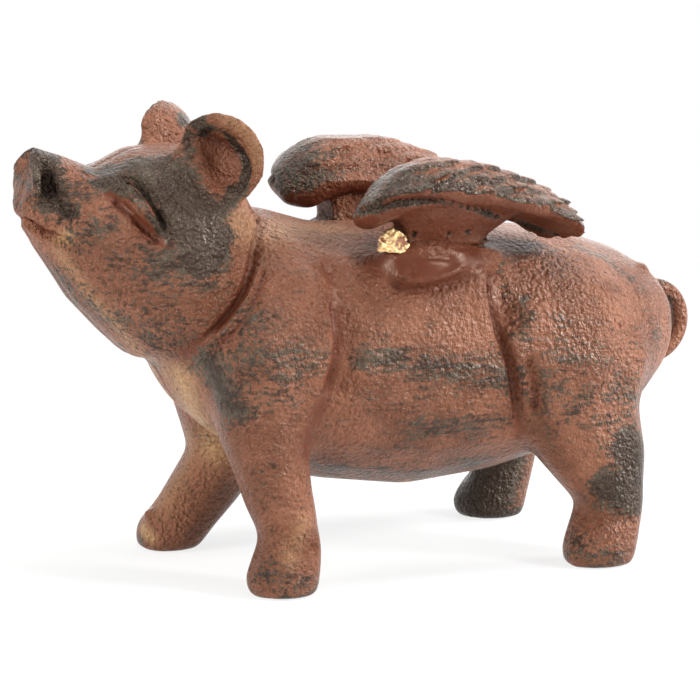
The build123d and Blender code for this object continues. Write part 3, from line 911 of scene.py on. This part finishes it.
def featherTree():
    tree = bpy.data.node_groups.new("featherRows", "GeometryNodeTree")
    floats = ("Length", "Width", "Thickness", "Row Gap", "Side Gap", "Tilt", "Fan")
    for name, kind in (("Geometry", "Geometry"), *((name, "Float") for name in floats),
                       ("Centre", "Vector"), ("Seed", "Int"), ("Finish", "Material")):
        tree.interface.new_socket(name, in_out="INPUT", socket_type="NodeSocket" + kind)
    tree.interface.new_socket("Geometry", in_out="OUTPUT", socket_type="NodeSocketGeometry")
    inside = tree.nodes.new("NodeGroupInput")
    outside = tree.nodes.new("NodeGroupOutput")
    given = inside.outputs

    # One node; gives the wanted output, or all of them
    def add(kind, settings, inputs, output=0):
        node = tree.nodes.new(kind)
        for key, value in settings.items():
            setattr(node, key, value)
        for key, value in inputs.items():
            if isinstance(value, bpy.types.NodeSocket):
                tree.links.new(value, node.inputs[key])
            else:
                node.inputs[key].default_value = value
        return node.outputs if output is None else node.outputs[output]

    def maths(operation, first, second=0.0):
        return add("ShaderNodeMath", {"operation": operation}, {0: first, 1: second})

    def kept(kind, name, value, points):
        return add("GeometryNodeStoreNamedAttribute", {"data_type": kind, "domain": "POINT"},
                   {"Geometry": points, "Name": name, "Value": value})

    def read(kind, name):
        return add("GeometryNodeInputNamedAttribute", {"data_type": kind}, {"Name": name})

    # rows of points, every second one shifted by half a gap, dropped onto the wing
    rows, inRow = feather["rows"], feather["inRow"]
    grid = add("GeometryNodeMeshGrid", {}, {
        "Size X": maths("MULTIPLY", given["Row Gap"], rows - 1),
        "Size Y": maths("MULTIPLY", given["Side Gap"], inRow - 1),
        "Vertices X": rows, "Vertices Y": inRow})
    row = maths("FLOOR", maths("DIVIDE", add("GeometryNodeInputIndex", {}, {}), inRow))
    sideways = maths("MULTIPLY", maths("MULTIPLY", maths("MODULO", row, 2.0), given["Side Gap"]), 0.5)
    shift = add("ShaderNodeCombineXYZ", {}, {"Y": sideways})
    grid = add("GeometryNodeSetPosition", {}, {"Geometry": grid, "Offset": shift})
    grid = add("GeometryNodeTransform", {}, {"Geometry": grid, "Translation": given["Centre"]})
    ray = add("GeometryNodeRaycast", {}, {"Target Geometry": given["Geometry"], "Ray Direction": (0, 0, -1),
                                          "Ray Length": feather["drop"] * mm}, None)
    # the ray's results are kept on the points before these move
    grid = kept("FLOAT_VECTOR", "up", ray["Hit Normal"], grid)
    grid = kept("BOOLEAN", "hit", ray["Is Hit"], grid)
    grid = add("GeometryNodeSetPosition", {}, {"Geometry": grid, "Position": ray["Hit Position"]})
    up = read("FLOAT_VECTOR", "up")
    height = add("ShaderNodeSeparateXYZ", {}, {0: up}, "Z")
    upward = add("FunctionNodeCompare", {"operation": "GREATER_THAN"}, {0: height, 1: feather["upFacing"]})
    chosen = add("FunctionNodeBooleanMath", {"operation": "AND"}, {0: read("BOOLEAN", "hit"), 1: upward})

    # one feather, a flat egg with its rear end up
    size = add("ShaderNodeCombineXYZ", {}, {"X": given["Length"], "Y": given["Width"],
                                            "Z": given["Thickness"]})
    lean = add("ShaderNodeCombineXYZ", {}, {"Y": maths("MULTIPLY", given["Tilt"], -1.0)})
    segments, rings = feather["ball"]
    one = add("GeometryNodeMeshUVSphere", {}, {"Segments": segments, "Rings": rings, "Radius": 0.5})
    one = add("GeometryNodeTransform", {}, {"Geometry": one, "Scale": size})
    one = add("GeometryNodeTransform", {}, {"Geometry": one, "Rotation": lean})

    # each points to the rear, fans out and lies on the skin
    fromCentre = add("ShaderNodeVectorMath", {"operation": "SUBTRACT"},
                     {0: add("GeometryNodeInputPosition", {}, {}), 1: given["Centre"]})
    apart = add("ShaderNodeSeparateXYZ", {}, {0: fromCentre}, "Y")
    rearward = add("ShaderNodeCombineXYZ", {}, {"X": 1.0, "Y": maths("MULTIPLY", apart, given["Fan"])})
    turned = add("FunctionNodeAlignRotationToVector", {"axis": "X"}, {"Vector": rearward})
    turned = add("FunctionNodeAlignRotationToVector", {"axis": "Z", "pivot_axis": "AUTO"},
                 {"Rotation": turned, "Vector": up})
    least, most = feather["sizes"]
    grown = add("FunctionNodeRandomValue", {"data_type": "FLOAT"},
                {2: least, 3: most, "Seed": given["Seed"]}, 1)
    laid = add("GeometryNodeInstanceOnPoints", {}, {"Points": grid, "Selection": chosen, "Instance": one,
                                                    "Rotation": turned, "Scale": grown})
    joined = tree.nodes.new("GeometryNodeJoinGeometry")
    tree.links.new(given["Geometry"], joined.inputs[0])
    tree.links.new(laid, joined.inputs[0])
    solid = add("GeometryNodeRealizeInstances", {}, {"Geometry": joined.outputs[0]})
    solid = add("GeometryNodeSetMaterial", {}, {"Geometry": solid, "Material": given["Finish"]})
    tree.links.new(solid, outside.inputs[0])
    return tree


# A wing as it is in CAD, with its feathers
def featheredMesh(node, tree):
    low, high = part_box(node)
    block = bpy.data.objects.new("block", joinedCopy("wingCopy", (node,)))
    bpy.context.scene.collection.objects.link(block)
    rows = block.modifiers.new("feathers", "NODES")
    rows.node_group = tree
    values = {
        "Length": feather["length"] * mm,
        "Width": feather["width"] * mm,
        "Thickness": feather["thickness"] * mm,
        "Row Gap": feather["rowGap"] * mm,
        "Side Gap": feather["sideGap"] * mm,
        "Tilt": math.radians(feather["tilt"]),
        "Fan": feather["fan"],
        "Centre": ((low.x + high.x) / 2, (low.y + high.y) / 2, high.z + feather["above"] * mm),
        "Seed": feather["seed"],
        "Finish": iron,
    }
    for item in tree.interface.items_tree:
        if item.in_out == "INPUT" and item.name in values:
            rows[item.identifier] = values[item.name]
    mesh = evaluatedMesh(block)
    bpy.data.objects.remove(block)
    return mesh


# The wings, in millimetres; a pair of places or of facings is where something starts and where it is full
wing = {
    "voxel": 0.30,
    "softening": 4,
    "flow": 450,  # passes that let the underside flow into the foot
    "flowFacing": (0.35, -0.65),
    "flowHeight": (58.2, 60.2),
    "flowGain": 2,
    "frontRounding": 50,
    "frontPart": (-5, -8),
    "rearRounding": 100,
    "rearPart": (28, 33),
    "blunt": 29.5,  # behind here the tip is pushed back
    "bluntShare": 0.5,
    "scallop": -1.0,
    "scallopRadius": 0.7,
    "scallops": 5,  # from one pixel of the rim to the next
    "rimPatina": (0.8, 1.6),  # width and amount
    "lift": {"left": -0.4, "right": 0.5},
    "liftHeight": (58.5, 62.5),
    "reliefPasses": 12,
    "topFacing": (-0.25, 0.25),
    "outerFacing": (1.5, 0.3),  # slope, and what is taken off
    "frontPatina": (1, -7),
    "patinaAndShade": {"top": 0.28, "front": 0.55, "outer": 0.8},
    "outerTop": 0.25,  # the outer patina needs this much of the top
    # the downward-facing underside is smooth and gets painted shade
    "calmShadeFacing": (0.05, -0.45),
}

# Place (Y from the middle plane outwards), radius, move
wingSwells = [
    ((-7.5, 16.0, 63.0), (5.0, 8.0, 3.4), (0.4, 0.0, -5.6)),  # front lobe hangs down
    ((-5.5, 15.0, 59.5), (3.0, 7.0, 2.6), (2.8, 0.0, 0.0)),  # foot starts further back
    ((15.5, 17.0, 59.0), (3.4, 7.0, 2.0), (-3.4, 0.0, 0.0)),  # and ends sooner
    ((16.5, 19.0, 62.8), (5.0, 6.0, 2.4), (4.6, 0.8, -1.6)),  # but spreads out under the rim
    ((4.0, 21.0, 64.0), (11.0, 3.0, 2.4), (0.0, 2.6, -1.2)),
    ((33.0, 17.0, 60.0), (7.0, 9.0, 6.0), (-2.0, 0.0, 0.0)),  # rear tip
]

# Pixel, radius, outward amount: pits above the crack, and a low bump
wingPits = [
    ((414.8, 232.8), 0.5, -0.7),
    ((450, 232.8), 0.5, -0.7),
    ((468.4, 231), 0.5, -0.7),
    ((432, 214), 1.2, 0.3),
]

# Pixels of the scalloped edge under the rim
wingRim = [(362, 208), (390, 201), (420, 199), (450, 202), (485, 210), (520, 222), (555, 236)]


def sculptWing(clay, side, outward):
    mirrored = side == "right"
    clay.smooth(wing["softening"])
    clay.settle()
    for (x, y, z), radius, move in wingSwells:
        clay.swell((x, outward * y, z), radius, 1.0, (move[0], outward * move[1], move[2]))
    under = ramp(clay.facing[:, 2], *wing["flowFacing"]) * ramp(clay.points[:, 2], *wing["flowHeight"])
    clay.smooth(wing["flow"], np.clip(under * wing["flowGain"], 0, 1))
    clay.smooth(wing["frontRounding"], ramp(clay.points[:, 0], *wing["frontPart"]))
    clay.smooth(wing["rearRounding"], ramp(clay.points[:, 0], *wing["rearPart"]))
    clay.points[:, 0] -= np.maximum(clay.points[:, 0] - wing["blunt"], 0) * wing["bluntShare"]
    clay.settle()
    for pixel, radius, amount in wingPits:
        for place in clay.seen([pixel], mirrored):
            clay.swell(place, radius, amount)
    for pixel in smoothCurve(np.array(wingRim, float), wing["scallops"]):
        for place in clay.seen([pixel], mirrored):
            clay.swell(place, wing["scallopRadius"], wing["scallop"])
    clay.brush("patinaAndShade", clay.seen(wingRim, mirrored), *wing["rimPatina"])
    clay.points[:, 2] += wing["lift"][side] * ramp(clay.points[:, 2], *wing["liftHeight"])
    clay.settle()


# The rim has its patina already
def paintWing(clay, outward):
    clay.reliefLayer(wing["reliefPasses"])
    top = ramp(clay.facing[:, 2], *wing["topFacing"])
    slope, less = wing["outerFacing"]
    outer = np.clip(clay.facing[:, 1] * outward * slope - less, 0, 1)
    front = ramp(clay.points[:, 0], *wing["frontPatina"])
    amount = wing["patinaAndShade"]
    patinaAndShade = (top * (amount["top"] + front * amount["front"])
              + outer * (top > wing["outerTop"]) * amount["outer"])
    clay.layers["patinaAndShade"] = np.maximum(clay.layers["patinaAndShade"], patinaAndShade)
    # Painted shade and a smooth skin on the undersides
    clay.layers["calmShade"] = ramp(clay.facing[:, 2], *wing["calmShadeFacing"])
    clay.layers["light"] = np.zeros(len(clay.points))


def makeWing(side, outward, tree):
    node = side + "_wing"
    clay = Clay(voxelSkin(featheredMesh(node, tree), wing["voxel"]))
    sculptWing(clay, side, outward)
    paintWing(clay, outward)
    clay.keepInside(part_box(node))
    addPiece(side + "Wing", clay.toMesh(node), iron, "painted_iron", node)
    print(side, "wing", len(clay.points), "points")


feathers = featherTree()
makeWing("left", -1, feathers)
makeWing("right", 1, feathers)

# Lumps of braze, in millimetres; waves are in radians per millimetre
braze = {
    "voxel": 0.16,
    "softening": 10,
    "broadWaves": (2.3, 2.9, 2.1),
    "broadStart": (1.0, 0.6),
    "fineWaves": (5.1, 4.3),
    "fineShare": 0.5,
    "lumps": 0.45,
    "slump": 0.62,
    "raised": 1.4,
    "lastSoftening": 4,
}


def makeBraze(side):
    node = side + "_wing_braze"
    clay = Clay(voxelSkin(joinedCopy("brazeCopy", (node,)), braze["voxel"]))
    clay.smooth(braze["softening"])
    clay.settle()
    x, y, z = clay.points.T
    waveX, waveY, waveZ = braze["broadWaves"]
    startX, startZ = braze["broadStart"]
    broad = np.sin(x * waveX + startX) * np.sin(y * waveY) * np.sin(z * waveZ + startZ)
    waveX, waveZ = braze["fineWaves"]
    fine = braze["fineShare"] * np.sin(x * waveX) * np.sin(z * waveZ)
    clay.points += clay.facing * ((broad + fine) * braze["lumps"])[:, None]
    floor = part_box(node)[0][2] / mm
    clay.points[:, 2] = floor + (clay.points[:, 2] - floor) * braze["slump"] + braze["raised"]
    clay.keepInside(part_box(node))
    clay.smooth(braze["lastSoftening"])
    addPiece(side + "Braze", clay.toMesh(node), brass, "braze", node)


makeBraze("left")
makeBraze("right")
print("braze run in")

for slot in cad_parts["body_screw"].material_slots:
    slot.material = steel
print("screw finished")

# Floor and light, in metres
stage = {
    "floor": 6.0,
    "white": (0.93, 0.93, 0.92),
    "glow": (0.80, 1.0),  # share of plain white that camera and gloss see, near the pig and far off
    "glowEdge": (0.07, 0.4),
    "world": 0.20,  # its light on the pig
    "lampsAim": (0, 0, 0.035),
    "lamps": [  # place, width, watts
        ("key", (0.40, -0.42, 0.32), 0.11, 4.0),
        ("top", (0.04, -0.04, 0.58), 0.36, 2.4),
        ("right", (0.54, -0.08, 0.30), 0.18, 4.0),
        ("leftward", (-0.54, -0.06, 0.26), 0.20, 3.0),
        ("behind", (0.22, 0.50, 0.26), 0.55, 1.3),
    ],
}
seenRays = ("Is Camera Ray", "Is Glossy Ray", "Is Transmission Ray")  # these see the background white


def makeFloor():
    mesh = bpy.data.meshes.new("floor")
    reach = stage["floor"]
    corners = [(-reach, -reach, 0), (reach, -reach, 0), (reach, reach, 0), (-reach, reach, 0)]
    mesh.from_pydata(corners, [], [(0, 1, 2, 3)])
    floor = bpy.data.objects.new("floor", mesh)
    bpy.context.scene.collection.objects.link(floor)
    p = Paint("floorWhite")
    seen = sum(p.add("ShaderNodeLightPath", {}, {}, kind) for kind in seenRays)
    matt = p.add("ShaderNodeBsdfDiffuse", {}, {"Color": stage["white"]})
    glow = p.add("ShaderNodeEmission", {}, {"Color": (1, 1, 1), "Strength": 1.0})
    far = p.add("ShaderNodeVectorMath", {"operation": "LENGTH"}, {0: p.object}, "Value")
    near, away = stage["glow"]
    share = far.step(*stage["glowEdge"]) * (away - near) + near
    mesh.materials.append(p.output(p.add("ShaderNodeMixShader", {}, {0: seen * share, 1: matt, 2: glow})))


def makeWorld():
    world = bpy.data.worlds.new("studio")
    world.use_nodes = True
    nodes, links = world.node_tree.nodes, world.node_tree.links
    path = nodes.new("ShaderNodeLightPath")
    white = path.outputs[seenRays[0]]
    for kind in seenRays[1:]:
        either = nodes.new("ShaderNodeMath")
        either.operation = "MAXIMUM"
        links.new(white, either.inputs[0])
        links.new(path.outputs[kind], either.inputs[1])
        white = either.outputs[0]
    strength = nodes.new("ShaderNodeMapRange")
    strength.inputs["To Min"].default_value = stage["world"]
    links.new(white, strength.inputs["Value"])
    background = nodes["Background"]
    background.inputs["Color"].default_value = (1, 1, 1, 1)
    links.new(strength.outputs[0], background.inputs["Strength"])
    bpy.context.scene.world = world


def makeLamps():
    for name, place, size, power in stage["lamps"]:
        data = bpy.data.lights.new(name, "AREA")
        data.shape = "SQUARE"
        data.size = size
        data.energy = power
        lamp = bpy.data.objects.new(name, data)
        lamp.location = place
        fromAim = Vector(place) - Vector(stage["lampsAim"])
        lamp.rotation_euler = fromAim.to_track_quat("Z", "Y").to_euler()
        bpy.context.scene.collection.objects.link(lamp)


makeFloor()
makeWorld()
makeLamps()
bpy.context.scene.view_settings.view_transform = "Standard"
print("stage set")

bpy.context.view_layer.update()
